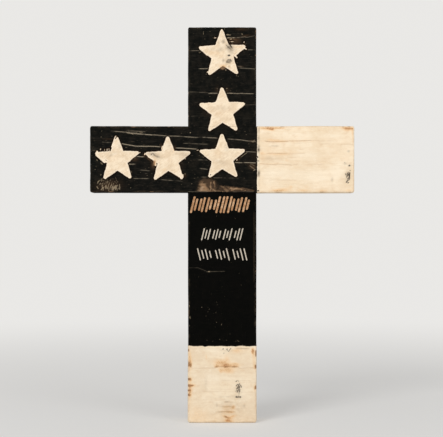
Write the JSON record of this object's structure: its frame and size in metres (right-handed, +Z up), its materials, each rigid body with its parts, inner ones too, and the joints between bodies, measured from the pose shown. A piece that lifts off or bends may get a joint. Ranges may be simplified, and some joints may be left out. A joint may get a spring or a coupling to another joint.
{
  "type": "painted wooden memorial cross",
  "caption": "Upright latin cross of two flush painted boards joined with a cross-lap, dark with cream stars, one cream arm and a cream foot, standing on the end of its post.",
  "frame": {"origin": "centre of the post's underside, on the surface that the cross stands on", "axes": "+Z up along the post, +X along the crossbar towards its cream arm, -Y out of the front"},
  "size_m": [0.357, 0.038, 0.534],
  "materials": {
    "post_paint": "softwood under matte black milk paint, with a cream foot and stars, worn to bare wood at the arrises",
    "crossbar_paint": "softwood under matte black milk paint with cream stars, its right arm chalky cream, worn to bare wood at the arrises"
  },
  "bodies": {
    "root": {"post": "post_paint", "crossbar": "crossbar_paint"}
  },
  "joints": []
}
